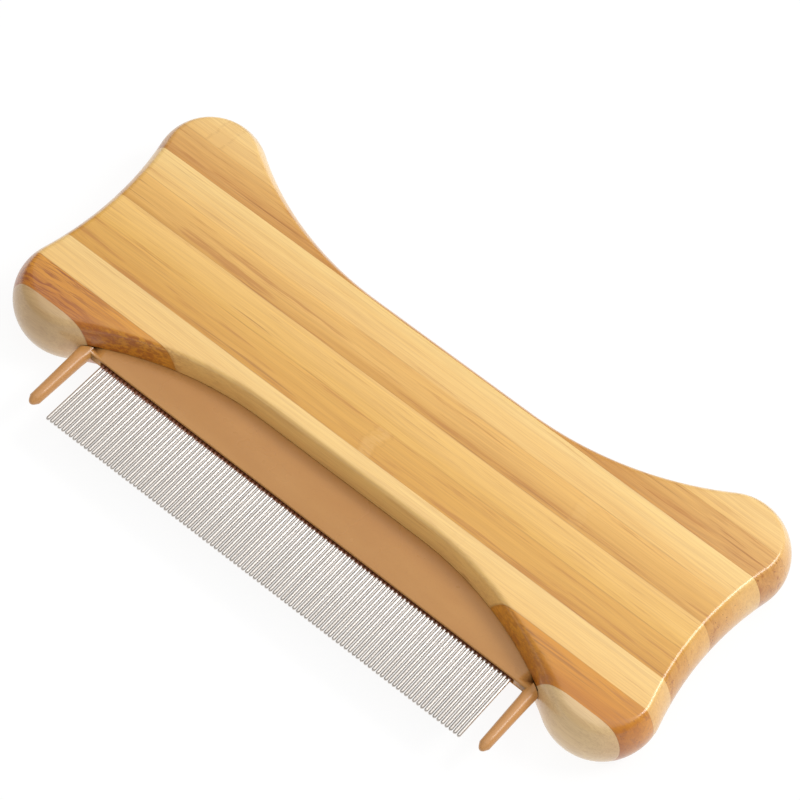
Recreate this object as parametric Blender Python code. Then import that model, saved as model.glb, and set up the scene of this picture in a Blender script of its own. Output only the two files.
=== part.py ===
"""Fine-tooth grooming comb.

A bone-shaped bamboo handle, glued up from upright strips, holds a moulded carrier in a slot
along its front side. Steel needle teeth stand in a groove in the carrier's front edge, and a
guard pin stands at each end of the row. The handle's underside is z = 0, X runs along the
handle, and the teeth point towards -Y.
"""

import math

import bmesh
import bpy
from mathutils import Matrix, Vector

MM = 0.001
CLEARANCE = 0.3 * MM  # gap left between pieces that touch on the real comb

# Handle blank
HALF_LENGTH = 65.0 * MM
THICKNESS = 12.0 * MM
LOBE_RADIUS = 9.9 * MM
LOBE_Y = 17.5 * MM
NOTCH_X = 62.9 * MM  # deepest point of the hollow in each end
WAIST_Y = 15.2 * MM
SIDE_RADIUS = 58.0 * MM  # hollow between waist and lobe
# Arris radius, and slope in degrees of the bulged wall where it meets the arris: at the ends and
# the back, along the front of the waist, and round the front of the lobes.
END_EDGE = Vector((1.2 * MM, 40))
WAIST_EDGE = Vector((1.0 * MM, 14))
LOBE_EDGE = Vector((2.8 * MM, 28))
LOBE_EDGE_FROM_X = 34.0 * MM
LOBE_EDGE_FULL_X = 54.0 * MM

# Bamboo strips, glued on planes of constant y
STRIP_WIDTH = 6.05 * MM
FIRST_JOINT_Y = -23.55 * MM
JOINT_COUNT = 9
WHOLE_STRIPS = (2, 3, 4, 5, 6, 7)  # the others reach only into the lobes

# Carrier
PLATE_TOP = 7.45 * MM
PLATE_THICKNESS = 2.0 * MM
PLATE_FRONT_Y = -24.5 * MM
PLATE_BACK_Y = -9.0 * MM
PLATE_HALF_LENGTH = 48.0 * MM
GROOVE_DEPTH = 1.0 * MM
GROOVE_HEIGHT = 1.1 * MM
PIN_X = 46.35 * MM
PIN_BASE_RADIUS = 1.3 * MM
PIN_END_RADIUS = 1.0 * MM
PIN_BLOCK = Vector((2.9, 0, 3.0)) * MM
PIN_TIP_Y = -37.5 * MM
TIP_Y = -38.0 * MM  # the teeth stand half a millimetre past the guard pins

# Teeth
TOOTH_COUNT = 106
TOOTH_PITCH = 0.806 * MM
TOOTH_RADIUS = 0.25 * MM
TOOTH_SIDES = 6
TEETH_PER_BANK = 9
ROOT_BAR = 0.5 * MM

MID_Z = PLATE_TOP - PLATE_THICKNESS / 2  # height of the teeth and guard pins
WELL_PAST = 20 * MM  # how far a cutter runs past what it cuts


def clear_scene():
    for obj in list(bpy.data.objects):
        bpy.data.objects.remove(obj, do_unlink=True)


def make_material(name, colour, roughness, metallic=0.0):
    material = bpy.data.materials.new(name)
    material.use_nodes = True
    shader = material.node_tree.nodes["Principled BSDF"]
    shader.inputs["Base Color"].default_value = (*colour, 1.0)
    shader.inputs["Roughness"].default_value = roughness
    shader.inputs["Metallic"].default_value = metallic
    return material


def add_object(name, bm, material=None):
    """Make an object from a finished bmesh. With no material it is a hidden cutter."""
    bmesh.ops.recalc_face_normals(bm, faces=bm.faces)
    mesh = bpy.data.meshes.new(name)
    bm.to_mesh(mesh)
    bm.free()
    obj = bpy.data.objects.new(name, mesh)
    bpy.context.scene.collection.objects.link(obj)
    if material is None:
        obj.hide_render = True
        obj.display_type = "WIRE"
    else:
        mesh.materials.append(material)
        mesh.shade_smooth()
        mesh.set_sharp_from_angle(angle=math.radians(35))
    return obj


def add_boolean(obj, other, operation):
    modifier = obj.modifiers.new(other.name, "BOOLEAN")
    modifier.operation = operation
    modifier.object = other
    modifier.solver = "EXACT"


def box_mesh(low, high):
    bm = bmesh.new()
    centre = (Vector(low) + Vector(high)) / 2
    scale = Matrix.Diagonal((*(Vector(high) - Vector(low)), 1))
    bmesh.ops.create_cube(bm, size=1, matrix=Matrix.Translation(centre) @ scale)
    return bm


def arc(centre, radius, start, end, steps):
    """Points on a circle from one angle to another, leaving out the last one."""
    turn = [start + (end - start) * i / steps for i in range(steps)]
    return [centre + radius * Vector((math.cos(a), math.sin(a))) for a in turn]


def handle_outline(grow=0.0):
    """Bone outline, anticlockwise from the right-hand notch, as (point, outward normal) pairs.

    One quarter is three tangent arcs and a straight: the end notch, the lobe, the side hollow
    and half the waist. Growing the outline adds to the lobe's radius and takes from the hollows.
    """
    lobe = Vector((HALF_LENGTH - LOBE_RADIUS, LOBE_Y))
    lobe_radius = LOBE_RADIUS + grow
    # The notch circle is centred on the X axis and touches the lobe from outside.
    reach = NOTCH_X - LOBE_RADIUS
    notch_x = (reach**2 - lobe.length_squared) / (2 * (reach - lobe.x))
    notch = Vector((notch_x, 0))
    notch_radius = notch_x - NOTCH_X - grow
    # The side circle touches the waist line and the lobe.
    side_y = WAIST_Y + SIDE_RADIUS
    side_x = lobe.x - math.sqrt((SIDE_RADIUS + LOBE_RADIUS) ** 2 - (side_y - LOBE_Y) ** 2)
    side = Vector((side_x, side_y))
    side_radius = SIDE_RADIUS - grow

    to_lobe = math.atan2(lobe.y - notch.y, lobe.x - notch.x)
    to_side = math.atan2(side.y - lobe.y, side.x - lobe.x)
    quarter = [(p, (notch - p).normalized()) for p in arc(notch, notch_radius, math.pi, to_lobe, 5)]
    on_lobe = arc(lobe, lobe_radius, to_lobe - math.pi, to_side, 11)
    quarter += [(p, (p - lobe).normalized()) for p in on_lobe]
    on_side = arc(side, side_radius, to_side - math.pi, -math.pi / 2, 7)
    quarter += [(p, (side - p).normalized()) for p in on_side]
    quarter.append((side - Vector((0, side_radius)), Vector((0, 1))))

    def flipped(points, x, y):
        return [(Vector((p.x * x, p.y * y)), Vector((n.x * x, n.y * y))) for p, n in points]

    upper_left = flipped(quarter, -1, 1)[::-1]
    lower_left = flipped(quarter, -1, -1)
    lower_right = flipped(quarter, 1, -1)[::-1]
    return quarter + upper_left[:-1] + lower_left + lower_right[:-1]


def smooth_step(value, low, high):
    share = min(max((value - low) / (high - low), 0), 1)
    return share * share * (3 - 2 * share)


def edge_profile(point, normal):
    """(inset, z) pairs up the handle's wall at one outline point: arris, bulged wall, arris."""
    front = smooth_step(-normal.y, 0.15, 0.85)
    lobe = smooth_step(abs(point.x), LOBE_EDGE_FROM_X, LOBE_EDGE_FULL_X)
    arris_radius, slope = END_EDGE.lerp(WAIST_EDGE.lerp(LOBE_EDGE, lobe), front)
    slope = math.radians(slope)
    sine = math.sin(slope)
    cosine = math.cos(slope)
    wall_radius = (THICKNESS / 2 - arris_radius * (1 - sine)) / sine
    arris_inset = wall_radius * (1 - cosine)
    wall_steps = 6
    arris_steps = 3
    upper = []
    for i in range(arris_steps):
        a = slope + (math.pi / 2 - slope) * (i + 1) / arris_steps
        inset = arris_inset + arris_radius * (cosine - math.cos(a))
        upper.append((inset, THICKNESS / 2 - arris_radius * (1 - math.sin(a))))
    wall = []
    for i in range(wall_steps + 1):
        a = slope * (2 * i / wall_steps - 1)
        wall.append((wall_radius * (1 - math.cos(a)), wall_radius * math.sin(a)))
    lower = [(inset, -z) for inset, z in reversed(upper)]
    return [(inset, z + THICKNESS / 2) for inset, z in lower + wall + upper]


def blank_mesh():
    """The whole rounded handle, before it is parted into strips."""
    bm = bmesh.new()
    outline = handle_outline()
    columns = []
    for point, normal in outline:
        up_the_wall = [(point - normal * inset, z) for inset, z in edge_profile(point, normal)]
        columns.append([bm.verts.new((p.x, p.y, z)) for p, z in up_the_wall])
    rings = list(zip(*columns))
    for below, above in zip(rings, rings[1:]):
        for i in range(len(outline)):
            j = (i + 1) % len(outline)
            bm.faces.new((below[i], below[j], above[j], above[i]))
    bm.faces.new(rings[0][::-1])
    bm.faces.new(rings[-1])
    return bm


def make_slot_cutter():
    """Sawn slot along the front side that takes the carrier's tang."""
    low = (
        -PLATE_HALF_LENGTH - CLEARANCE,
        PLATE_FRONT_Y - WELL_PAST,
        PLATE_TOP - PLATE_THICKNESS - CLEARANCE,
    )
    high = (PLATE_HALF_LENGTH + CLEARANCE, PLATE_BACK_Y + CLEARANCE, PLATE_TOP + CLEARANCE)
    return add_object("slot_cutter", box_mesh(low, high))


def make_strip(name, blank, low, high, slot, material):
    """One bamboo strip: the blank inside a box, less the slot where the box reaches it."""
    cell = add_object("cell_" + name, box_mesh(low, high))
    strip = bpy.data.objects.new(name, blank.copy())
    bpy.context.scene.collection.objects.link(strip)
    strip.data.materials.append(material)
    add_boolean(strip, cell, "INTERSECT")
    if low[1] < PLATE_BACK_Y:
        add_boolean(strip, slot, "DIFFERENCE")


def make_handle(light, dark):
    blank = bpy.data.meshes.new("blank")
    bm = blank_mesh()
    bmesh.ops.recalc_face_normals(bm, faces=bm.faces)
    bm.to_mesh(blank)
    bm.free()
    blank.shade_smooth()
    blank.set_sharp_from_angle(angle=math.radians(35))
    slot = make_slot_cutter()
    far = HALF_LENGTH + WELL_PAST
    joints = [FIRST_JOINT_Y + STRIP_WIDTH * i for i in range(JOINT_COUNT)]
    edges = [-far] + joints + [far]
    for index, (front, back) in enumerate(zip(edges, edges[1:])):
        front += CLEARANCE / 2
        back -= CLEARANCE / 2
        material = light if index % 2 == 0 else dark
        if index in WHOLE_STRIPS:
            low = (-far, front, -WELL_PAST)
            high = (far, back, THICKNESS + WELL_PAST)
            make_strip(f"bamboo_strip_{index + 1}", blank, low, high, slot, material)
            continue
        for side, start, end in (("left", -far, 0), ("right", 0, far)):
            low = (start, front, -WELL_PAST)
            high = (end, back, THICKNESS + WELL_PAST)
            make_strip(f"bamboo_strip_{index + 1}_{side}", blank, low, high, slot, material)


def turned_rod(x, sections, sides):
    """Closed round rod along -Y. Each section is (y, radius), and the last one is the pole."""
    bm = bmesh.new()
    rings = []
    for y, radius in sections[:-1]:
        angles = [2 * math.pi * (i + 0.5) / sides for i in range(sides)]
        ring = [(x + radius * math.cos(a), y, MID_Z + radius * math.sin(a)) for a in angles]
        rings.append([bm.verts.new(p) for p in ring])
    for a, b in zip(rings, rings[1:]):
        for i in range(sides):
            j = (i + 1) % sides
            bm.faces.new((a[i], a[j], b[j], b[i]))
    pole = bm.verts.new((x, sections[-1][0], MID_Z))
    for i in range(sides):
        bm.faces.new((rings[-1][i], rings[-1][(i + 1) % sides], pole))
    bm.faces.new(rings[0])
    return bm


def make_guard_pin(name, x, wall):
    """Tapered rod with a domed end, standing on a squared block that clears the handle's wall."""
    dome_y = PIN_TIP_Y + PIN_END_RADIUS
    sections = [(PLATE_FRONT_Y + GROOVE_DEPTH, PIN_BASE_RADIUS), (dome_y, PIN_END_RADIUS)]
    for degrees in (30, 60):
        a = math.radians(degrees)
        sections.append((dome_y - PIN_END_RADIUS * math.sin(a), PIN_END_RADIUS * math.cos(a)))
    sections.append((PIN_TIP_Y, 0))
    rod = add_object(name + "_rod", turned_rod(x, sections, 16))
    low = (x - PIN_BLOCK.x / 2, PLATE_FRONT_Y - CLEARANCE, MID_Z - PIN_BLOCK.z / 2)
    high = (x + PIN_BLOCK.x / 2, -WAIST_Y, MID_Z + PIN_BLOCK.z / 2)
    block = add_object(name + "_block", box_mesh(low, high))
    bevel = block.modifiers.new("soft_edges", "BEVEL")
    bevel.width = 0.4 * MM
    bevel.segments = 2
    add_boolean(block, wall, "DIFFERENCE")
    add_boolean(block, rod, "UNION")
    return block


def make_carrier(material):
    low = (-PLATE_HALF_LENGTH, PLATE_FRONT_Y, PLATE_TOP - PLATE_THICKNESS)
    high = (PLATE_HALF_LENGTH, PLATE_BACK_Y, PLATE_TOP)
    carrier = add_object("comb_carrier", box_mesh(low, high), material)

    bm = bmesh.new()
    rim = [bm.verts.new((p.x, p.y, -WELL_PAST)) for p, _ in handle_outline(CLEARANCE)]
    bm.faces.new(rim)
    lifted = bmesh.ops.extrude_face_region(bm, geom=bm.faces[:])
    verts = [v for v in lifted["geom"] if isinstance(v, bmesh.types.BMVert)]
    bmesh.ops.translate(bm, verts=verts, vec=(0, 0, THICKNESS + 2 * WELL_PAST))
    wall = add_object("wall_clearance", bm)

    for name, x in (("pin_left", -PIN_X), ("pin_right", PIN_X)):
        add_boolean(carrier, make_guard_pin(name, x, wall), "UNION")

    half_row = TOOTH_PITCH * (TOOTH_COUNT - 1) / 2 + TOOTH_RADIUS + CLEARANCE
    low = (-half_row, PLATE_FRONT_Y - WELL_PAST, MID_Z - GROOVE_HEIGHT / 2)
    high = (half_row, PLATE_FRONT_Y + GROOVE_DEPTH, MID_Z + GROOVE_HEIGHT / 2)
    add_boolean(carrier, add_object("groove_cutter", box_mesh(low, high)), "DIFFERENCE")


def make_tooth_bank(number, first, count, material):
    """A run of needle teeth, held together by a thin bar hidden in the carrier's groove."""
    root_y = PLATE_FRONT_Y + GROOVE_DEPTH - CLEARANCE
    shoulder_y = TIP_Y + TOOTH_RADIUS
    start_x = TOOTH_PITCH * (first - (TOOTH_COUNT - 1) / 2)
    sections = [
        (root_y - ROOT_BAR / 4, TOOTH_RADIUS),
        (shoulder_y, TOOTH_RADIUS),
        (TIP_Y + 0.07 * MM, TOOTH_RADIUS * 0.7),
        (TIP_Y, 0),
    ]
    teeth = bmesh.new()
    for i in range(count):
        tooth = turned_rod(start_x + TOOTH_PITCH * i, sections, TOOTH_SIDES)
        piece = bpy.data.meshes.new("tooth")
        tooth.to_mesh(piece)
        tooth.free()
        teeth.from_mesh(piece)
        bpy.data.meshes.remove(piece)
    bank = add_object(f"tooth_bank_{number:02d}", teeth, material)
    low = (start_x - TOOTH_RADIUS, root_y - ROOT_BAR, MID_Z - ROOT_BAR / 2)
    end_x = start_x + TOOTH_PITCH * (count - 1) + TOOTH_RADIUS
    high = (end_x, root_y, MID_Z + ROOT_BAR / 2)
    bar = add_object(f"root_bar_{number:02d}", box_mesh(low, high))
    add_boolean(bank, bar, "UNION")


def make_teeth(material):
    firsts = range(0, TOOTH_COUNT, TEETH_PER_BANK)
    for number, first in enumerate(firsts, 1):
        count = min(TEETH_PER_BANK, TOOTH_COUNT - first)
        make_tooth_bank(number, first, count, material)


clear_scene()
make_handle(
    make_material("bamboo_light", (0.78, 0.55, 0.25), 0.38),
    make_material("bamboo_dark", (0.66, 0.40, 0.15), 0.38),
)
make_carrier(make_material("carrier_plastic", (0.50, 0.25, 0.10), 0.45))
make_teeth(make_material("tooth_steel", (0.72, 0.72, 0.72), 0.25, 1.0))
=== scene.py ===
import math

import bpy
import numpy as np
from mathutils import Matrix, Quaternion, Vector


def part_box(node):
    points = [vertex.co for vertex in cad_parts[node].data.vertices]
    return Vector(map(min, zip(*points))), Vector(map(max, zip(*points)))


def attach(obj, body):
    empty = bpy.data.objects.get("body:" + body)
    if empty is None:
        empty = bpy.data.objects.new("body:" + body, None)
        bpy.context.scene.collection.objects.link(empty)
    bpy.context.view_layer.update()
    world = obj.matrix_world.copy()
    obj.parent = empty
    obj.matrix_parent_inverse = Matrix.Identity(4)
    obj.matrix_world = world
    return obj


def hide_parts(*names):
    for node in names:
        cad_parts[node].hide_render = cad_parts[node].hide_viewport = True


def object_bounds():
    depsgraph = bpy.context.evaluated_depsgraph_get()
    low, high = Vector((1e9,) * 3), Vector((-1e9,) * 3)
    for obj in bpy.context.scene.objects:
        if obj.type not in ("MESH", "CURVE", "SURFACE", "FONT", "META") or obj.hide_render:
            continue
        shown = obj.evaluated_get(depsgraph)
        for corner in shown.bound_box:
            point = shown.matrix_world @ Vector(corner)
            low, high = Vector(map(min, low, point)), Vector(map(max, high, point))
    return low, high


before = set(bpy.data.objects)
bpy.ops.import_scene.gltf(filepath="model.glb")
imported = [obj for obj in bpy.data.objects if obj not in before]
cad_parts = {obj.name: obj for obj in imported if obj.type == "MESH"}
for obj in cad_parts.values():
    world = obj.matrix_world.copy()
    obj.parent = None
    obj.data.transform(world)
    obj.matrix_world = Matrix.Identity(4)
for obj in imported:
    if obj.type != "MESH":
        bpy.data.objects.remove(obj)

# Fine-tooth comb: a bone-shaped bamboo handle of glued strips, a moulded carrier in a slot along
# its front side, and steel needles in the carrier's groove. Lengths are in metres. X runs along
# the handle, the needles point to -Y, and the comb lies on z = 0.

CAD_LOW, CAD_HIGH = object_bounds()
MM = 0.001
MM_PER_METRE = 1000

# ---------------------------------------------------------------- driving dimensions

HALF_LENGTH = CAD_HIGH.x
THICKNESS = CAD_HIGH.z
LOBE_RADIUS = 9.9 * MM
LOBE_Y = CAD_HIGH.y - LOBE_RADIUS
NOTCH_X = 62.9 * MM
WAIST_Y = 15.2 * MM
SIDE_RADIUS = 58.0 * MM
# Arris radius in mm and the wall's slope where it meets the arris in degrees: at the ends and the
# back, along the front of the waist, and round the front of the lobes
END_EDGE = np.array([1.2, 40.0])
WAIST_EDGE = np.array([1.0, 14.0])
LOBE_EDGE = np.array([2.8, 28.0])
# The front edge is all waist up to the first distance from the middle and all lobe past the second.
LOBE_EDGE_FROM_X = 34 * MM
LOBE_EDGE_FULL_X = 54 * MM

STRIP_WIDTH = 6.05 * MM
FIRST_JOINT_Y = -23.55 * MM
JOINT_COUNT = 9
GLUE_LINE = 0.004 * MM

PLATE_BACK_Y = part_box("comb_carrier")[1].y
PLATE_TOP = 7.45 * MM
PLATE_THICKNESS = 2.0 * MM
PLATE_FRONT_Y = -24.5 * MM
PLATE_HALF_LENGTH = 46.9 * MM
PLATE_EDGE_RADIUS = 0.28 * MM
# The plate's front edge is moulded a little off square: this much Y for each unit of X.
PLATE_FRONT_SLOPE = -0.006
GROOVE_DEPTH = 1.0 * MM
GROOVE_HEIGHT = 1.25 * MM
SLOT_GAP = 0.16 * MM
PIN_X = 46.35 * MM
PIN_TIP_Y = -37.5 * MM
TIP_Y = CAD_LOW.y
MID_Z = PLATE_TOP - PLATE_THICKNESS / 2

# Middle of the brown painted shade at the needle roots, in Y
NEEDLE_SHADE_Y = -24.75 * MM
TOOTH_COUNT = 106
TOOTH_PITCH = 0.806 * MM
TOOTH_RADIUS = 0.34 * MM
TEETH_PER_BANK = 9

# ---------------------------------------------------------------- mesh helpers


def make_piece(name, points, faces, material=None):
    """A mesh object from an (n, 3) array of points and lists of face indices."""
    mesh = bpy.data.meshes.new(name)
    mesh.from_pydata(points, [], faces)
    mesh.update()
    mesh.shade_smooth()
    if material:
        mesh.materials.append(material)
    piece = bpy.data.objects.new(name, mesh)
    bpy.context.scene.collection.objects.link(piece)
    return piece


def tube_faces(ring_count, ring_size):
    """Quads between stacked closed rings, then one cap on the first ring and one on the last."""
    ring = np.arange(ring_size)
    base = np.arange(ring_count - 1)[:, None] * ring_size
    after = (ring + 1) % ring_size
    quads = np.stack(
        [base + ring, base + after, base + ring_size + after, base + ring_size + ring], axis=-1
    )
    last = (ring_count - 1) * ring_size + ring
    return quads.reshape(-1, 4).tolist() + [ring[::-1].tolist(), last.tolist()]


def settle(piece):
    """Turns a piece's modifiers into its mesh."""
    graph = bpy.context.evaluated_depsgraph_get()
    mesh = bpy.data.meshes.new_from_object(piece.evaluated_get(graph))
    piece.modifiers.clear()
    piece.data = mesh


def carve(piece, other, operation):
    """One exact Boolean between two closed pieces."""
    modifier = piece.modifiers.new(other.name, "BOOLEAN")
    modifier.object = other
    modifier.operation = operation
    modifier.solver = "EXACT"


def discard(*pieces):
    for piece in pieces:
        bpy.data.objects.remove(piece, do_unlink=True)


def block_piece(name, low, high):
    """A closed block between two corners, used only to cut with."""
    corners = np.array([low, high])
    pick = np.array([[0, 0], [1, 0], [1, 1], [0, 1]])
    layers = [np.c_[corners[pick[:, 0], 0], corners[pick[:, 1], 1], np.full(4, z)] for z in corners[:, 2]]
    return make_piece(name, np.vstack(layers), tube_faces(2, 4))


def crease(piece, degrees):
    """Keeps the shading smooth except across edges sharper than this angle."""
    piece.data.shade_smooth()
    piece.data.set_sharp_from_angle(angle=math.radians(degrees))


# ---------------------------------------------------------------- handle shape


def arc(centre, radius, start, end, steps):
    """Points at equal turns along a circle, without the last one."""
    turn = start + (end - start) * np.arange(steps) / steps
    return centre + radius * np.c_[np.cos(turn), np.sin(turn)]


def bone_outline(grow=0.0):
    """The handle's outline and its outward normals, anticlockwise, as two (n, 2) arrays.

    A quarter is three tangent arcs and a straight. The notch circle is centred on the X axis and
    touches the lobe circle; the side circle touches the lobe circle and the waist line. The other
    quarters mirror it.
    """
    lobe = np.array([HALF_LENGTH - LOBE_RADIUS, LOBE_Y])
    reach = NOTCH_X - LOBE_RADIUS
    notch = np.array([(reach**2 - lobe @ lobe) / (2 * (reach - lobe[0])), 0.0])
    side_y = WAIST_Y + SIDE_RADIUS
    run = math.sqrt((SIDE_RADIUS + LOBE_RADIUS) ** 2 - (side_y - LOBE_Y) ** 2)
    side = np.array([lobe[0] - run, side_y])
    to_lobe = math.atan2(*(lobe - notch)[::-1])
    to_side = math.atan2(*(side - lobe)[::-1])
    on_notch = arc(notch, notch[0] - NOTCH_X - grow, math.pi, to_lobe, 22)
    on_lobe = arc(lobe, LOBE_RADIUS + grow, to_lobe - math.pi, to_side, 40)
    on_side = arc(side, SIDE_RADIUS - grow, to_side - math.pi, -math.pi / 2, 34)
    on_waist = np.c_[np.linspace(side[0], 0, 10), np.full(10, WAIST_Y + grow)]
    points = np.vstack([on_notch, on_lobe, on_side, on_waist])
    normals = np.vstack([notch - on_notch, on_lobe - lobe, side - on_side, on_waist * 0 + [0, 1]])
    normals /= np.linalg.norm(normals, axis=1)[:, None]

    def round_the_handle(quarter):
        back_left = (quarter * [-1, 1])[::-1][1:]
        front_left = (quarter * [-1, -1])[1:]
        front_right = (quarter * [1, -1])[::-1][1:-1]
        return np.vstack([quarter, back_left, front_left, front_right])

    return round_the_handle(points), round_the_handle(normals)


def smooth_step(value, low, high):
    share = np.clip((value - low) / (high - low), 0, 1)
    return share * share * (3 - 2 * share)


def edge_shape(outline, normals):
    """Arris radius and wall slope at each outline point, blended by the way it faces and by x."""
    front = smooth_step(-normals[:, 1], 0.15, 0.85)[:, None]
    lobe = smooth_step(np.abs(outline[:, 0]), LOBE_EDGE_FROM_X, LOBE_EDGE_FULL_X)[:, None]
    return END_EDGE + front * (WAIST_EDGE + lobe * (LOBE_EDGE - WAIST_EDGE) - END_EDGE)


def wall_profile(shape):
    """(inset, height) pairs up the wall for each outline point, as an (n, points, 2) array.

    The wall is one large arc that bulges most at half height. Where it leans in by the given
    slope, a small arc of the arris radius turns it into the flat face.
    """
    arris_radius, slope = shape[:, 0] * MM, np.radians(shape[:, 1])
    sine, cosine = np.sin(slope), np.cos(slope)
    radius = (THICKNESS / 2 - arris_radius * (1 - sine)) / sine
    wall_turn = np.linspace(-1, 1, 17)[:, None] * slope
    wall = np.stack([radius * (1 - np.cos(wall_turn)), radius * np.sin(wall_turn)], axis=-1)
    arris_turn = slope + np.linspace(0, 1, 9)[1:, None] * (math.pi / 2 - slope)
    inset = radius * (1 - cosine) + arris_radius * (cosine - np.cos(arris_turn))
    height = THICKNESS / 2 - arris_radius * (1 - np.sin(arris_turn))
    arris = np.stack([inset, height], axis=-1)
    return np.vstack([(arris * [1, -1])[::-1], wall, arris]) + [0, THICKNESS / 2]


def handle_blank():
    """The whole handle: the outline moved inwards by the profile's inset at each height."""
    outline, normals = bone_outline()
    profile = wall_profile(edge_shape(outline, normals))
    flat = outline - profile[..., :1] * normals
    points = np.concatenate([flat, profile[..., 1:]], axis=-1).reshape(-1, 3)
    return make_piece("blank", points, tube_faces(len(profile), len(outline)))


# ---------------------------------------------------------------- shader helpers


def tint(red, green, blue):
    """A colour-card value, 0 to 255 a channel, as the linear colour that a shader takes."""
    value = np.array([red, green, blue]) / 255
    linear = np.where(value > 0.04045, ((value + 0.055) / 1.055) ** 2.4, value / 12.92)
    return (*linear.tolist(), 1.0)


def put(tree, kind, values=(), **settings):
    """Adds a node, sets its properties, and links or sets its inputs in order of name or index."""
    made = tree.nodes.new(kind)
    for key, value in settings.items():
        setattr(made, key, value)
    for key, value in dict(values).items():
        if isinstance(value, bpy.types.NodeSocket):
            tree.links.new(value, made.inputs[key])
        else:
            made.inputs[key].default_value = value
    return made


def calc(tree, operation, first, second=0.0, third=0.0, clamp=False):
    """One Math node's result."""
    values = {0: first, 1: second, 2: third}
    return put(tree, "ShaderNodeMath", values, operation=operation, use_clamp=clamp).outputs[0]


def remap(tree, value, from_low, from_high, to_low=0.0, to_high=1.0):
    """A smooth step between two levels."""
    values = {0: value, 1: from_low, 2: from_high, 3: to_low, 4: to_high}
    made = put(tree, "ShaderNodeMapRange", values, interpolation_type="SMOOTHSTEP")
    return made.outputs[0]


def blend_colour(tree, amount, first, second, mode="MIX"):
    """A Mix node's colour. Sockets 6 and 7 are its two colour inputs, 2 its colour output."""
    made = put(tree, "ShaderNodeMix", {"Factor": amount}, data_type="RGBA", blend_type=mode)
    for socket, value in ((made.inputs[6], first), (made.inputs[7], second)):
        if isinstance(value, bpy.types.NodeSocket):
            tree.links.new(value, socket)
        else:
            socket.default_value = value
    return made.outputs[2]


def stretch(tree, vector, along, across, upright):
    """The vector with each part multiplied, so that a pattern gets longer or finer that way."""
    scaled = put(
        tree, "ShaderNodeVectorMath", {0: vector, 1: (along, across, upright)}, operation="MULTIPLY"
    )
    return scaled.outputs[0]


def noise(tree, vector, seed, detail=3.0, roughness=0.6):
    values = {"Vector": vector, "W": seed, "Scale": 1.0, "Detail": detail, "Roughness": roughness}
    made = put(tree, "ShaderNodeTexNoise", values, noise_dimensions="4D")
    return made.outputs[0]


def new_group(name, inputs, outputs):
    """An empty shader group. Inputs are (name, socket type, default); outputs (name, type)."""
    tree = bpy.data.node_groups.new(name, "ShaderNodeTree")
    for label, kind, default in inputs:
        socket = tree.interface.new_socket(label, in_out="INPUT", socket_type=kind)
        if default is not None:
            socket.default_value = default
    for label, kind in outputs:
        tree.interface.new_socket(label, in_out="OUTPUT", socket_type=kind)
    return tree, tree.nodes.new("NodeGroupInput").outputs, tree.nodes.new("NodeGroupOutput").inputs


def use_group(tree, group, **values):
    """Places a group; input names have _ for spaces."""
    made = tree.nodes.new("ShaderNodeGroup")
    made.node_tree = group
    for key, value in values.items():
        socket = made.inputs[key.replace("_", " ")]
        if isinstance(value, bpy.types.NodeSocket):
            tree.links.new(value, socket)
        else:
            socket.default_value = value
    return made.outputs


FLOAT, VECTOR = "NodeSocketFloat", "NodeSocketVector"


def fibre_group():
    """Bamboo fibre that runs along X: streaks on a face, dots on an end.

    Streak is fine grain, Bundle the dark fibre bundles, Bold the broad brown streaks and Drift
    the slow change of tone.
    """
    inputs = [("Position", VECTOR, None), ("Seed", FLOAT, 0.0), ("Density", FLOAT, 0.5)]
    outputs = [("Streak", FLOAT), ("Bundle", FLOAT), ("Bold", FLOAT), ("Drift", FLOAT)]
    tree, given, result = new_group("bamboo_fibre", inputs, outputs)
    place, seed, density = given["Position"], given["Seed"], given["Density"]
    wander = noise(tree, stretch(tree, place, 0.05, 0.2, 0.2), seed, 1.0)
    lean = calc(tree, "MULTIPLY_ADD", wander, 0.9, -0.45)
    offset = put(tree, "ShaderNodeCombineXYZ", {"Y": lean, "Z": lean}).outputs[0]
    bent = put(tree, "ShaderNodeVectorMath", {0: place, 1: offset}, operation="ADD").outputs[0]
    coarse = noise(tree, stretch(tree, bent, 0.03, 2.2, 1.4), seed, 4.0, 0.7)
    fine = noise(tree, stretch(tree, bent, 0.10, 8.0, 5.0), seed, 2.0, 0.5)
    streak = calc(tree, "MULTIPLY_ADD", fine, 0.45, calc(tree, "MULTIPLY", coarse, 0.55))
    tree.links.new(streak, result["Streak"])
    cells = put(
        tree,
        "ShaderNodeTexVoronoi",
        {"Vector": stretch(tree, bent, 0.030, 2.1, 2.1), "W": seed, "Scale": 1.0},
        voronoi_dimensions="4D",
    )
    cluster = noise(tree, stretch(tree, bent, 0.02, 0.55, 0.4), seed, 2.0)
    crowd = calc(tree, "MULTIPLY_ADD", remap(tree, cluster, 0.35, 0.65), 0.5, -0.25)
    size = calc(tree, "MULTIPLY_ADD", calc(tree, "ADD", density, crowd), 0.50, 0.08)
    edge = calc(tree, "SUBTRACT", size, 0.22)
    tree.links.new(remap(tree, cells.outputs["Distance"], size, edge), result["Bundle"])
    broad = noise(tree, stretch(tree, bent, 0.045, 1.15, 0.8), seed, 4.0, 0.65)
    start = calc(tree, "MULTIPLY_ADD", density, -0.20, 0.60)
    bold = remap(tree, broad, start, calc(tree, "ADD", start, 0.14))
    tree.links.new(bold, result["Bold"])
    drift = noise(tree, stretch(tree, bent, 0.014, 0.45, 0.25), seed, 2.0)
    tree.links.new(drift, result["Drift"])
    return tree


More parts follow.
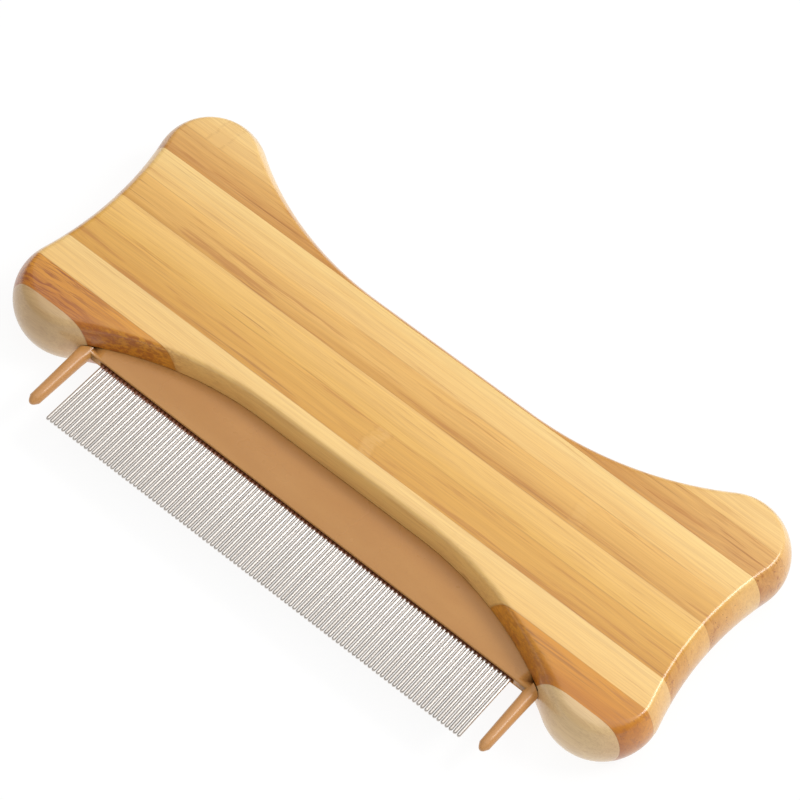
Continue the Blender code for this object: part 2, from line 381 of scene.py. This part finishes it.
def strip_group():
    """Where a point lies in its strip. Across runs from 0 at the front joint to 1 at the back
    one, and Joint is the thin dark line of adhesive."""
    inputs = [("Position", VECTOR, None), ("Front", FLOAT, 0.0), ("Width", FLOAT, 6.0)]
    tree, given, result = new_group("strip_place", inputs, [("Across", FLOAT), ("Joint", FLOAT)])
    y = put(tree, "ShaderNodeSeparateXYZ", {0: given["Position"]}).outputs["Y"]
    depth = calc(tree, "SUBTRACT", y, given["Front"])
    across = calc(tree, "DIVIDE", depth, given["Width"])
    tree.links.new(across, result["Across"])
    left_over = calc(tree, "SUBTRACT", given["Width"], depth)
    nearest = calc(tree, "MINIMUM", depth, left_over)
    line = remap(tree, nearest, 0.16, 0.0)
    patchy = noise(tree, stretch(tree, given["Position"], 0.06, 0.0, 0.0), given["Front"], 2.0)
    amount = remap(tree, patchy, 0.38, 0.62)
    tree.links.new(calc(tree, "MULTIPLY", line, amount), result["Joint"])
    return tree


def culm_node_group():
    """The mark that a culm's node leaves across a strip: a pale wavy band with brown edges."""
    inputs = [
        ("Position", VECTOR, None),
        ("Centre X", FLOAT, 0.0),
        ("Half Width", FLOAT, 1.5),
        ("Seed", FLOAT, 0.0),
    ]
    tree, given, result = new_group("culm_node", inputs, [("Core", FLOAT), ("Edge", FLOAT)])
    place = given["Position"]
    x = put(tree, "ShaderNodeSeparateXYZ", {0: place}).outputs["X"]
    wave = noise(tree, stretch(tree, place, 0.1, 0.45, 0.3), given["Seed"], 2.0)
    moved = calc(tree, "MULTIPLY_ADD", wave, 3.0, calc(tree, "SUBTRACT", x, given["Centre X"]))
    distance = calc(tree, "ABSOLUTE", calc(tree, "SUBTRACT", moved, 1.5))
    broken = noise(tree, stretch(tree, place, 0.7, 2.6, 2.0), given["Seed"], 3.0, 0.7)
    core = remap(tree, distance, given["Half Width"], calc(tree, "MULTIPLY", given["Half Width"], 0.5))
    tree.links.new(calc(tree, "MULTIPLY", core, remap(tree, broken, 0.66, 0.44)), result["Core"])
    edge = calc(tree, "ABSOLUTE", calc(tree, "SUBTRACT", distance, given["Half Width"]))
    edge = calc(tree, "MULTIPLY", remap(tree, edge, 0.45, 0.0), remap(tree, broken, 0.40, 0.60))
    tree.links.new(calc(tree, "MULTIPLY", edge, 0.45), result["Edge"])
    return tree


def flame_group():
    """Short dark dashes of fibre where a strip was cut through a node. They are thickest at Centre
    X and fade out at Half Length from it."""
    inputs = [
        ("Position", VECTOR, None),
        ("Centre X", FLOAT, 0.0),
        ("Half Length", FLOAT, 8.0),
        ("Seed", FLOAT, 0.0),
    ]
    tree, given, result = new_group("flamed_fibre", inputs, [("Mask", FLOAT)])
    place = given["Position"]
    x = put(tree, "ShaderNodeSeparateXYZ", {0: place}).outputs["X"]
    distance = calc(tree, "ABSOLUTE", calc(tree, "SUBTRACT", x, given["Centre X"]))
    zone = remap(tree, distance, given["Half Length"], 0.0)
    turned = put(tree, "ShaderNodeMapping", {0: place, "Rotation": (0, 0, math.radians(-4))})
    warp = noise(tree, stretch(tree, place, 0.15, 0.3, 0.3), given["Seed"], 1.0)
    offset = put(tree, "ShaderNodeCombineXYZ", {"Y": calc(tree, "MULTIPLY", warp, 1.6)}).outputs[0]
    bent = put(
        tree, "ShaderNodeVectorMath", {0: turned.outputs[0], 1: offset}, operation="ADD"
    ).outputs[0]
    dashes = noise(tree, stretch(tree, bent, 0.10, 1.8, 1.3), given["Seed"], 4.0, 0.72)
    cut = remap(tree, dashes, 0.47, 0.57)
    tree.links.new(calc(tree, "MULTIPLY", cut, zone), result["Mask"])
    return tree


def speckle_group():
    """Short specks where a curved wall cuts the fibres on the slant. They fade out at Half Length
    from Centre X."""
    inputs = [
        ("Position", VECTOR, None),
        ("Centre X", FLOAT, 0.0),
        ("Half Length", FLOAT, 8.0),
        ("Seed", FLOAT, 0.0),
    ]
    tree, given, result = new_group("fibre_specks", inputs, [("Mask", FLOAT)])
    place = given["Position"]
    x = put(tree, "ShaderNodeSeparateXYZ", {0: place}).outputs["X"]
    distance = calc(tree, "ABSOLUTE", calc(tree, "SUBTRACT", x, given["Centre X"]))
    zone = remap(tree, distance, given["Half Length"], calc(tree, "MULTIPLY", given["Half Length"], 0.4))
    specks = noise(tree, stretch(tree, place, 0.75, 1.9, 1.9), given["Seed"], 3.0, 0.7)
    tree.links.new(calc(tree, "MULTIPLY", remap(tree, specks, 0.42, 0.58), zone), result["Mask"])
    return tree


def handled_group():
    """Faint cloudy dulling that hands leave on a lacquered or moulded surface."""
    inputs = [("Position", VECTOR, None), ("Seed", FLOAT, 0.0)]
    tree, given, result = new_group("handled", inputs, [("Dulling", FLOAT)])
    cloud = noise(tree, stretch(tree, given["Position"], 0.07, 0.09, 0.09), given["Seed"], 3.0)
    tree.links.new(remap(tree, cloud, 0.35, 0.70), result["Dulling"])
    return tree


GROUPS = {
    "fibre": fibre_group(),
    "strip": strip_group(),
    "culm_node": culm_node_group(),
    "flame": flame_group(),
    "specks": speckle_group(),
    "handled": handled_group(),
}


def new_material(name):
    """A material with its Principled shader, and the point's place in millimetres."""
    material = bpy.data.materials.new(name)
    material.use_nodes = True
    tree = material.node_tree
    shader = tree.nodes["Principled BSDF"]
    place = tree.nodes.new("ShaderNodeTexCoord").outputs["Object"]
    return material, tree, shader, stretch(tree, place, MM_PER_METRE, MM_PER_METRE, MM_PER_METRE)


# ---------------------------------------------------------------- bamboo

STREAK_BROWN = tint(186, 116, 44)
FIBRE_BROWN = tint(162, 98, 38)
GLUE_BROWN = tint(150, 92, 40)
NODE_BROWN = tint(176, 112, 50)
NODE_PALE = tint(242, 194, 120)
FLAME_BROWN = tint(150, 72, 20)
SPECK_BROWN = tint(170, 92, 34)
END_GRAIN_TINT = tint(220, 176, 124)

# Each strip: tone at its front joint, tone at its back joint, how much dark fibre it shows
STRIP_TONES = [
    (tint(214, 178, 124), tint(232, 196, 142), 0.10),
    (tint(197, 119, 20), tint(227, 156, 48), 0.62),
    (tint(246, 198, 118), tint(250, 208, 132), 0.14),
    (tint(219, 158, 62), tint(231, 175, 82), 0.52),
    (tint(233, 178, 84), tint(246, 197, 112), 0.32),
    (tint(217, 158, 70), tint(242, 189, 102), 0.52),
    (tint(242, 192, 110), tint(252, 212, 136), 0.20),
    (tint(212, 150, 70), tint(238, 186, 106), 0.60),
    (tint(242, 192, 114), tint(254, 214, 142), 0.26),
    (tint(242, 200, 130), tint(246, 206, 138), 0.20),
]
# Marks of culm nodes by strip number: (centre x, half width, strength), in mm
NODE_MARKS = {4: (1.0, 1.5, 0.30), 9: (-56.0, 1.6, 0.45), 6: (34.0, 1.4, 0.15), 3: (22.0, 1.0, 0.15)}
# Flamed fibre by strip number: (centre x, half length, strength), in mm
FLAMES = {2: (-58.0, 18.0, 0.80), 8: (58.0, 16.0, 0.20)}
# Specks on the curved front walls by strip number: (centre x, half length, strength), in mm
SPECKS = {2: ((-44.0, 14.0, 0.80), (43.0, 14.0, 0.50)), 3: ((-38.0, 8.0, 0.40),)}
# Painted shade on the left end of a strip, by strip number: where it starts in X in mm, and how strongly
SHADED_ENDS = {1: (-44.0, 0.9)}
SHADED_END_LENGTH = 12.0
END_SHADE_TINT = tint(222, 214, 204)


def bamboo_material(number, front):
    """Tone rises from the dense front of a strip to its pale back; streaks, fibre bundles, the
    adhesive line and node marks darken it in turn."""
    front_tone, back_tone, fibre_amount = STRIP_TONES[number - 1]
    material, tree, shader, place = new_material(f"bamboo_{number}")
    seed = number * 7.3
    spot = use_group(tree, GROUPS["strip"], Position=place, Front=front / MM, Width=STRIP_WIDTH / MM)
    dense = calc(tree, "MULTIPLY_ADD", spot["Across"], -0.5 * fibre_amount, fibre_amount)
    fibre = use_group(tree, GROUPS["fibre"], Position=place, Seed=seed, Density=dense)

    tone = calc(tree, "MULTIPLY_ADD", fibre["Drift"], 1.5, -0.75)
    tone = calc(tree, "ADD", spot["Across"], tone, clamp=True)
    colour = blend_colour(tree, tone, front_tone, back_tone)
    grain = remap(tree, fibre["Streak"], 0.38, 0.66, 1.06, 0.90)
    grain_colour = put(tree, "ShaderNodeCombineColor", {0: 1.0, 1: grain, 2: grain}).outputs[0]
    shade = blend_colour(tree, 1.0, colour, grain, "MULTIPLY")
    colour = blend_colour(tree, 0.35, shade, grain_colour, "MULTIPLY")
    facing = tree.nodes.new("ShaderNodeTexCoord").outputs["Normal"]
    facing_x = put(tree, "ShaderNodeSeparateXYZ", {0: facing}).outputs["X"]
    end_grain = remap(tree, calc(tree, "ABSOLUTE", facing_x), 0.35, 0.95)
    strength = calc(tree, "MULTIPLY_ADD", end_grain, 0.40, 0.35 + 0.35 * fibre_amount)
    bold = calc(tree, "MULTIPLY", fibre["Bold"], 0.22 + 0.70 * fibre_amount)
    colour = blend_colour(tree, bold, colour, STREAK_BROWN)
    bundle = calc(tree, "MULTIPLY", fibre["Bundle"], strength)
    colour = blend_colour(tree, bundle, colour, FIBRE_BROWN)
    colour = blend_colour(tree, calc(tree, "MULTIPLY", spot["Joint"], 0.4), colour, GLUE_BROWN)
    if number in NODE_MARKS:
        centre, half_width, strength = NODE_MARKS[number]
        mark = use_group(
            tree,
            GROUPS["culm_node"],
            Position=place,
            Centre_X=centre,
            Half_Width=half_width,
            Seed=seed,
        )
        core = calc(tree, "MULTIPLY", mark["Core"], strength)
        colour = blend_colour(tree, core, colour, NODE_PALE)
        edge = calc(tree, "MULTIPLY", mark["Edge"], strength)
        colour = blend_colour(tree, edge, colour, NODE_BROWN)
    if number in FLAMES:
        centre, half_length, strength = FLAMES[number]
        flame = use_group(
            tree,
            GROUPS["flame"],
            Position=place,
            Centre_X=centre,
            Half_Length=half_length,
            Seed=seed,
        )
        amount = calc(tree, "MULTIPLY", flame["Mask"], strength)
        colour = blend_colour(tree, amount, colour, FLAME_BROWN)

    for centre, half_length, strength in SPECKS.get(number, ()):
        specks = use_group(
            tree,
            GROUPS["specks"],
            Position=place,
            Centre_X=centre,
            Half_Length=half_length,
            Seed=seed,
        )
        facing_y = put(tree, "ShaderNodeSeparateXYZ", {0: facing}).outputs["Y"]
        on_wall = remap(tree, facing_y, -0.35, -0.75)
        amount = calc(tree, "MULTIPLY", specks["Mask"], calc(tree, "MULTIPLY", on_wall, strength))
        colour = blend_colour(tree, amount, colour, SPECK_BROWN)

    # Painted shade: the strip is darkened towards its left end.
    if number in SHADED_ENDS:
        start, depth = SHADED_ENDS[number]
        x = put(tree, "ShaderNodeSeparateXYZ", {0: place}).outputs["X"]
        amount = calc(tree, "MULTIPLY", remap(tree, x, start, start - SHADED_END_LENGTH), depth)
        colour = blend_colour(tree, amount, colour, END_SHADE_TINT, "MULTIPLY")

    # Cut ends drink more lacquer, so they turn browner.
    colour = blend_colour(
        tree, calc(tree, "MULTIPLY", end_grain, 0.35), colour, END_GRAIN_TINT, "MULTIPLY"
    )
    tree.links.new(colour, shader.inputs["Base Color"])

    dulling = use_group(tree, GROUPS["handled"], Position=place, Seed=seed)["Dulling"]
    rough = calc(tree, "MULTIPLY_ADD", fibre["Streak"], 0.16, 0.30)
    rough = calc(tree, "MULTIPLY_ADD", dulling, 0.06, rough)
    tree.links.new(rough, shader.inputs["Roughness"])
    height = calc(tree, "MULTIPLY_ADD", fibre["Bundle"], -0.6, fibre["Streak"])
    bump = put(tree, "ShaderNodeBump", {"Height": height, "Strength": 0.25, "Distance": 0.02 * MM})
    tree.links.new(bump.outputs[0], shader.inputs["Normal"])
    shader.inputs["Coat Weight"].default_value = 0.6
    shader.inputs["Coat Roughness"].default_value = 0.13
    return material


def slot_cutter():
    low = (-PLATE_HALF_LENGTH - SLOT_GAP, PLATE_FRONT_Y * 2, PLATE_TOP - PLATE_THICKNESS - SLOT_GAP)
    high = (PLATE_HALF_LENGTH + SLOT_GAP, PLATE_BACK_Y + SLOT_GAP, PLATE_TOP + SLOT_GAP)
    return block_piece("slot_cutter", low, high)


def make_strip(node, blank, slot, low, high, material):
    """One strip: the part of the blank inside a block, less the sawn slot."""
    cell = block_piece("cell", low, high)
    strip = bpy.data.objects.new("strip_" + node.removeprefix("bamboo_strip_"), blank.data.copy())
    bpy.context.scene.collection.objects.link(strip)
    strip.data.materials.append(material)
    carve(strip, cell, "INTERSECT")
    if low[1] < PLATE_BACK_Y:
        carve(strip, slot, "DIFFERENCE")
    settle(strip)
    discard(cell)
    crease(strip, 32)
    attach(strip, "root")
    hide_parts(node)
    return strip


def make_handle():
    blank = handle_blank()
    slot = slot_cutter()
    far = 2 * HALF_LENGTH
    joints = FIRST_JOINT_Y + STRIP_WIDTH * np.arange(JOINT_COUNT)
    edges = [-far, *joints.tolist(), far]
    for number in range(1, JOINT_COUNT + 2):
        front, back = edges[number - 1], edges[number]
        material = bamboo_material(number, back - STRIP_WIDTH if number == 1 else front)
        low_y, high_y = front + GLUE_LINE / 2, back - GLUE_LINE / 2
        whole = f"bamboo_strip_{number}"
        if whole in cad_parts:
            make_strip(whole, blank, slot, (-far, low_y, -far), (far, high_y, far), material)
            continue
        for side, start, end in (("_left", -far, 0.0), ("_right", 0.0, far)):
            low, high = (start, low_y, -far), (end, high_y, far)
            make_strip(whole + side, blank, slot, low, high, material)
    discard(blank, slot)


# ---------------------------------------------------------------- carrier

PLATE_TAN_DARK = tint(190, 134, 71)
PLATE_TAN_LIGHT = tint(197, 142, 78)
PLASTIC_SPECK = tint(156, 100, 54)
PIN_HIGHLIGHT_TAN = tint(206, 150, 92)



def plate_surface():
    """The carrier's plate: one closed section in Y and Z carried along X.

    The section goes round the back edge, then the front edge with two rounded lips and the groove
    between them. The groove's depth falls to almost nothing past the last needle at each end.
    """
    half_row = TOOTH_PITCH * (TOOTH_COUNT - 1) / 2 + TOOTH_RADIUS + 0.15 * MM
    run_out = 0.25 * MM
    ends = half_row + run_out * np.linspace(0, 1, 7)
    x = np.unique(np.r_[0, half_row - 1 * MM, ends, PLATE_HALF_LENGTH - 0.02 * MM])
    x = np.r_[-x[:0:-1], x]
    past = np.clip((np.abs(x) - half_row) / run_out, 0, 1)
    depth = 0.03 * MM + (GROOVE_DEPTH - 0.03 * MM) * np.sqrt(1 - past**2)

    r = PLATE_EDGE_RADIUS
    lip = 0.1 * MM
    turn = np.linspace(0, math.pi / 2, 6)
    half = PLATE_THICKNESS / 2
    # Each point is (y ahead of the front face, share of the groove's depth, z from the middle).
    outer = np.c_[r * (1 - np.sin(turn)), 0 * turn, -half + r * (1 - np.cos(turn))]
    inner = np.c_[lip * (1 - np.cos(turn)), 0 * turn, -GROOVE_HEIGHT / 2 - lip * (1 - np.sin(turn))]
    floor = np.array([[0, 1, -GROOVE_HEIGHT / 2]])
    lower = np.vstack([outer, inner, floor])
    upper = (lower * [1, 1, -1])[::-1]
    front = np.vstack([lower, upper])
    slope = PLATE_FRONT_SLOPE * x[:, None]
    y = PLATE_FRONT_Y + slope + front[None, :, 0] + front[None, :, 1] * depth[:, None]
    z = np.broadcast_to(MID_Z + front[None, :, 2], y.shape)
    back_y = np.full((len(x), 2), PLATE_BACK_Y)
    back_z = np.broadcast_to([MID_Z + half, MID_Z - half], back_y.shape)
    y, z = np.hstack([y, back_y]), np.hstack([z, back_z])
    return np.stack([np.broadcast_to(x[:, None], y.shape), y, z], axis=-1)


def pin_surface(x, girth):
    """A guard pin: superellipse sections carried along -Y.

    It leaves the wall as a softly squared block, turns round past the plate's front edge, tapers,
    and ends in a blunt cone whose sections shrink as a power of the distance to the tip. Sections
    are (y, half width, half height, power) in mm.
    """
    front = PLATE_FRONT_Y / MM
    block = np.array(
        [
            [front + 4.0, 1.06 * girth, 0.94 * girth, 2.4],
            [front, 1.06 * girth, 0.96 * girth, 2.4],
            [front - 0.5, 1.05 * girth, 0.99 * girth, 2.3],
            [front - 1.1, 1.03 * girth, 1.01 * girth, 2.2],
        ]
    )
    tip = PIN_TIP_Y / MM
    shaft_y = np.linspace(front - 1.9, tip + 1.15, 7)
    shaft_radius = girth * np.interp(shaft_y, [tip + 1.15, front - 1.9], [0.84, 1.0])
    shaft = np.c_[shaft_y, shaft_radius, shaft_radius, np.full(7, 2.0)]
    left_over = np.array([0.9, 0.7, 0.5, 0.3, 0.15, 0.06, 0.0])
    nose_radius = shaft_radius[-1] * (0.30 + 0.70 * left_over**0.8)
    nose_radius[-3:] *= [0.92, 0.72, 0.25]
    nose = np.c_[tip + 1.15 * left_over, nose_radius, nose_radius, np.full(7, 2.0)]
    sections = np.vstack([block, shaft, nose])
    angle = 2 * math.pi * (np.arange(48) + 0.5) / 48
    power = 2 / sections[:, 3, None]
    across = sections[:, 1, None] * np.sign(np.cos(angle)) * np.abs(np.cos(angle)) ** power
    upright = sections[:, 2, None] * np.sign(np.sin(angle)) * np.abs(np.sin(angle)) ** power
    along = np.broadcast_to(sections[:, 0, None], across.shape)
    return np.stack([x + across * MM, along * MM, MID_Z + upright * MM], axis=-1)


def surface_piece(name, points, material=None):
    """A closed piece from rings of points. Its faces are turned outwards."""
    rings, size, _ = points.shape
    piece = make_piece(name, points.reshape(-1, 3), tube_faces(rings, size), material)
    return turn_outwards(piece)


def turn_outwards(piece):
    """Flips a closed mesh if the signed volume of its faces is negative."""
    mesh = piece.data
    mesh.calc_loop_triangles()
    points = np.empty(len(mesh.vertices) * 3)
    mesh.vertices.foreach_get("co", points)
    corners = np.empty(len(mesh.loop_triangles) * 3, dtype=np.int32)
    mesh.loop_triangles.foreach_get("vertices", corners)
    a, b, c = points.reshape(-1, 3)[corners.reshape(-1, 3)].transpose(1, 0, 2)
    if np.einsum("ij,ij->", a, np.cross(b, c)) < 0:
        mesh.flip_normals()
    return piece


def wall_block():
    """The handle's outline grown by a hair and drawn out upwards, to fit the pins to the wall."""
    outline, _ = bone_outline(0.04 * MM)
    low = np.c_[outline, np.full(len(outline), -THICKNESS)]
    high = np.c_[outline, np.full(len(outline), 2 * THICKNESS)]
    return surface_piece("wall_block", np.stack([low, high]))


def carrier_material():
    """Tan moulding plastic: a fine satin skin, faint flow marks along the plate, a little dust in the
    texture, and a painted highlight that makes the pins paler."""
    material, tree, shader, place = new_material("carrier_plastic")
    flow = noise(tree, stretch(tree, place, 0.05, 0.16, 0.3), 3.0, 3.0)
    speck = noise(tree, stretch(tree, place, 2.5, 2.5, 2.5), 5.0, 2.0)
    colour = blend_colour(tree, remap(tree, flow, 0.3, 0.7), PLATE_TAN_DARK, PLATE_TAN_LIGHT)
    dust = calc(tree, "MULTIPLY", remap(tree, speck, 0.5, 0.8), 0.12)
    colour = blend_colour(tree, dust, colour, PLASTIC_SPECK)
    # Painted highlight: the pins, ahead of the plate's front edge, are painted paler.
    y = put(tree, "ShaderNodeSeparateXYZ", {0: place}).outputs["Y"]
    pin_highlight = remap(tree, y, PLATE_FRONT_Y / MM, PLATE_FRONT_Y / MM - 1.5)
    colour = blend_colour(tree, pin_highlight, colour, PIN_HIGHLIGHT_TAN)
    tree.links.new(colour, shader.inputs["Base Color"])
    dulling = use_group(tree, GROUPS["handled"], Position=place, Seed=2.0)["Dulling"]
    rough = calc(tree, "MULTIPLY_ADD", dulling, 0.08, 0.26)
    tree.links.new(rough, shader.inputs["Roughness"])
    skin = noise(tree, stretch(tree, place, 9.0, 9.0, 9.0), 1.0, 2.0)
    bump = put(tree, "ShaderNodeBump", {"Height": skin, "Strength": 0.12, "Distance": 0.02 * MM})
    tree.links.new(bump.outputs[0], shader.inputs["Normal"])
    return material


def make_carrier():
    carrier = surface_piece("carrier", plate_surface(), carrier_material())
    wall = wall_block()
    pins = []
    for name, x, girth in (("pin_left", -PIN_X, 1.28), ("pin_right", PIN_X, 1.18)):
        pin = surface_piece(name, pin_surface(x, girth))
        carve(pin, wall, "DIFFERENCE")
        settle(pin)
        carve(carrier, pin, "UNION")
        pins.append(pin)
    settle(carrier)
    discard(wall, *pins)
    crease(carrier, 40)
    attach(carrier, "root")
    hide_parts("comb_carrier")


# ---------------------------------------------------------------- needles

STEEL_DARK = (0.64, 0.595, 0.55, 1)
STEEL_LIGHT = (0.74, 0.69, 0.64, 1)
# Brown painted shade for the needle roots, where the plate shades them
ROOT_SHADE_BROWN = tint(132, 78, 50)


def steel_material():
    """Bright drawn wire: fine die lines along the needle, slight change of tone from one needle
    to the next, and a brown painted shade at the root, next to the plate."""
    material, tree, shader, place = new_material("needle_steel")
    lines = noise(tree, stretch(tree, place, 9.0, 0.05, 9.0), 1.0, 1.0)
    tone = noise(tree, stretch(tree, place, 0.9, 0.0, 0.0), 4.0, 0.0)
    shade = remap(tree, tone, 0.3, 0.7)
    colour = blend_colour(tree, shade, STEEL_DARK, STEEL_LIGHT)
    # Painted shade: the needles turn brown and non-metallic near the root, next to the plate.
    y = put(tree, "ShaderNodeSeparateXYZ", {0: place}).outputs["Y"]
    ragged = calc(tree, "MULTIPLY_ADD", tone, 0.5, y)
    root_shade = remap(tree, ragged, NEEDLE_SHADE_Y / MM - 0.15, NEEDLE_SHADE_Y / MM + 0.25)
    colour = blend_colour(tree, root_shade, colour, ROOT_SHADE_BROWN)
    tree.links.new(colour, shader.inputs["Base Color"])
    tree.links.new(calc(tree, "SUBTRACT", 1.0, root_shade), shader.inputs["Metallic"])
    rough = calc(tree, "MULTIPLY_ADD", lines, 0.04, 0.34)
    tree.links.new(rough, shader.inputs["Roughness"])
    bump = put(tree, "ShaderNodeBump", {"Height": lines, "Strength": 0.03, "Distance": 0.004 * MM})
    tree.links.new(bump.outputs[0], shader.inputs["Normal"])
    return material


def needle_rings():
    """A needle at x = 0: a round rod along -Y whose last tenth of a millimetre closes as an
    ellipse. Returned as rings of points."""
    root_y = PLATE_FRONT_Y + 0.6 * GROOVE_DEPTH
    nose = 0.34 * MM
    turn = np.radians([0, 35, 65])
    y = np.r_[root_y, TIP_Y + nose - nose * np.sin(turn), TIP_Y]
    radius = TOOTH_RADIUS * np.r_[1, np.cos(turn), 0.08]
    angle = 2 * math.pi * np.arange(12) / 12
    across = radius[:, None] * np.cos(angle)
    upright = MID_Z + radius[:, None] * np.sin(angle)
    return np.stack([across, np.broadcast_to(y[:, None], across.shape), upright], axis=-1)


def make_needles():
    material = steel_material()
    rings = needle_rings()
    for index in range(TOOTH_COUNT):
        x = TOOTH_PITCH * (index - (TOOTH_COUNT - 1) / 2)
        needle = surface_piece(f"needle_{index + 1:03d}", rings + [x, 0, 0], material)
        crease(needle, 60)
        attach(needle, "root")
        if index % TEETH_PER_BANK == 0:
            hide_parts(f"tooth_bank_{index // TEETH_PER_BANK + 1:02d}")


# ---------------------------------------------------------------- stage

# Azimuth, elevation and roll in degrees; the target in mm; lens and sensor in mm
CAMERA_ANGLES = [29.06, 57.36, 11.41]
CAMERA_TARGET = (-2.57, 3.89, 6.0)
CAMERA_DISTANCE = 504.3 * MM
CAMERA_LENS = 138.35
CAMERA_SENSOR = 36.0


def make_floor():
    material = bpy.data.materials.new("floor_white")
    material.use_nodes = True
    shader = material.node_tree.nodes["Principled BSDF"]
    shader.inputs["Base Color"].default_value = (0.12, 0.12, 0.12, 1)
    shader.inputs["Emission Color"].default_value = (1, 1, 1, 1)
    shader.inputs["Emission Strength"].default_value = 0.90
    shader.inputs["Roughness"].default_value = 0.9
    shader.inputs["Specular IOR Level"].default_value = 0.0
    half = 3.0
    corners = half * np.array([[-1, -1], [1, -1], [1, 1], [-1, 1]])
    points = np.c_[corners, np.full(4, -0.1 * MM)]
    make_piece("floor", points, [[0, 1, 2, 3]], material)


def add_softbox(name, toward, distance, size, power):
    """A square lamp that stands in one direction from the comb and faces it."""
    lamp = bpy.data.lights.new(name, "AREA")
    lamp.size = size
    lamp.energy = power
    holder = bpy.data.objects.new(name, lamp)
    direction = Vector(toward).normalized()
    holder.location = direction * distance
    holder.rotation_mode = "QUATERNION"
    holder.rotation_quaternion = direction.to_track_quat("Z", "Y")
    bpy.context.scene.collection.objects.link(holder)


def make_light():
    world = bpy.data.worlds.new("studio")
    world.use_nodes = True
    background = world.node_tree.nodes["Background"]
    background.inputs["Color"].default_value = (1, 1, 1, 1)
    background.inputs["Strength"].default_value = 0.34
    bpy.context.scene.world = world
    add_softbox("overhead", (0.05, 0.0, 1.0), 0.9, 1.2, 4.4)
    add_softbox("back_right", (0.475, 0.47, 0.75), 0.9, 0.32, 3.2)
    bpy.context.scene.view_settings.view_transform = "Standard"


def make_camera():
    """Long lens, above and to the right of the needles, rolled a little."""
    azimuth, elevation, roll = np.radians(CAMERA_ANGLES)
    target = Vector(CAMERA_TARGET) * MM
    back = Vector(
        (
            math.sin(azimuth) * math.cos(elevation),
            -math.cos(azimuth) * math.cos(elevation),
            math.sin(elevation),
        )
    )
    lens = bpy.data.cameras.new("camera")
    lens.lens = CAMERA_LENS
    lens.sensor_width = CAMERA_SENSOR
    lens.clip_start = 0.01
    camera = bpy.data.objects.new("camera", lens)
    camera.location = target + back * CAMERA_DISTANCE
    camera.rotation_mode = "QUATERNION"
    camera.rotation_quaternion = back.to_track_quat("Z", "Y") @ Quaternion((0, 0, 1), roll)
    bpy.context.scene.collection.objects.link(camera)
    bpy.context.scene.camera = camera


make_camera()
make_light()
make_floor()
make_handle()
make_carrier()
make_needles()

bpy.context.view_layer.update()
